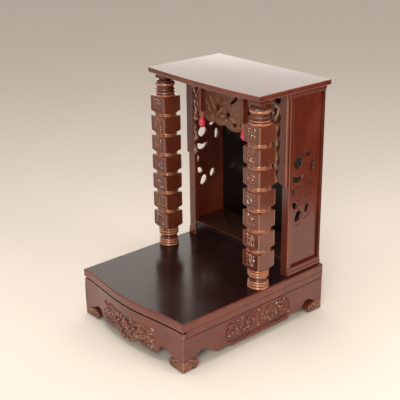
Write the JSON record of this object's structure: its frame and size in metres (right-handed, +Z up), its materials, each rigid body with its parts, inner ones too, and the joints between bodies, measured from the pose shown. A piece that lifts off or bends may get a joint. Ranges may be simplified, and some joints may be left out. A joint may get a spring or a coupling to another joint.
{
  "type": "household altar cabinet",
  "caption": "Wooden floor altar: low platform on scroll feet, cut block columns holding a bowed top over a shallow pierced niche with small red lamps.",
  "frame": {"origin": "centre of the bounding box at floor level, so the soles of the feet are at z = 0", "axes": "+Z up, -Y towards the person facing the altar, +X to their right"},
  "size_m": [0.569, 0.694, 0.875],
  "materials": {
    "lacquered_wood": "gloss",
    "dark_lacquered_wood": "gloss",
    "carved_wood": "gloss",
    "lamp_socket": "satin",
    "lamp_bulb": "gloss"
  },
  "bodies": {
    "root": {"platform_slab": "dark_lacquered_wood", "back_panel": "dark_lacquered_wood", "niche_floor": "dark_lacquered_wood", "niche_riser": "dark_lacquered_wood", "front_apron": "lacquered_wood", "side_apron_right": "lacquered_wood", "side_apron_left": "lacquered_wood", "back_apron": "lacquered_wood", "top_board": "lacquered_wood", "stile_right": "lacquered_wood", "stile_left": "lacquered_wood", "side_panel_right": "lacquered_wood", "side_panel_left": "lacquered_wood", "skirting_right": "lacquered_wood", "skirting_left": "lacquered_wood", "cornice_right": "lacquered_wood", "cornice_left": "lacquered_wood", "lamp_post_right": "lacquered_wood", "lamp_post_left": "lacquered_wood", "foot_front_right": "carved_wood", "foot_front_left": "carved_wood", "foot_rear_right": "carved_wood", "foot_rear_left": "carved_wood", "column_right": "carved_wood", "column_left": "carved_wood", "bracket_right": "carved_wood", "bracket_left": "carved_wood", "valance": "carved_wood", "lamp_socket_right": "lamp_socket", "lamp_socket_left": "lamp_socket", "lamp_bulb_right": "lamp_bulb", "lamp_bulb_left": "lamp_bulb"}
  },
  "joints": []
}
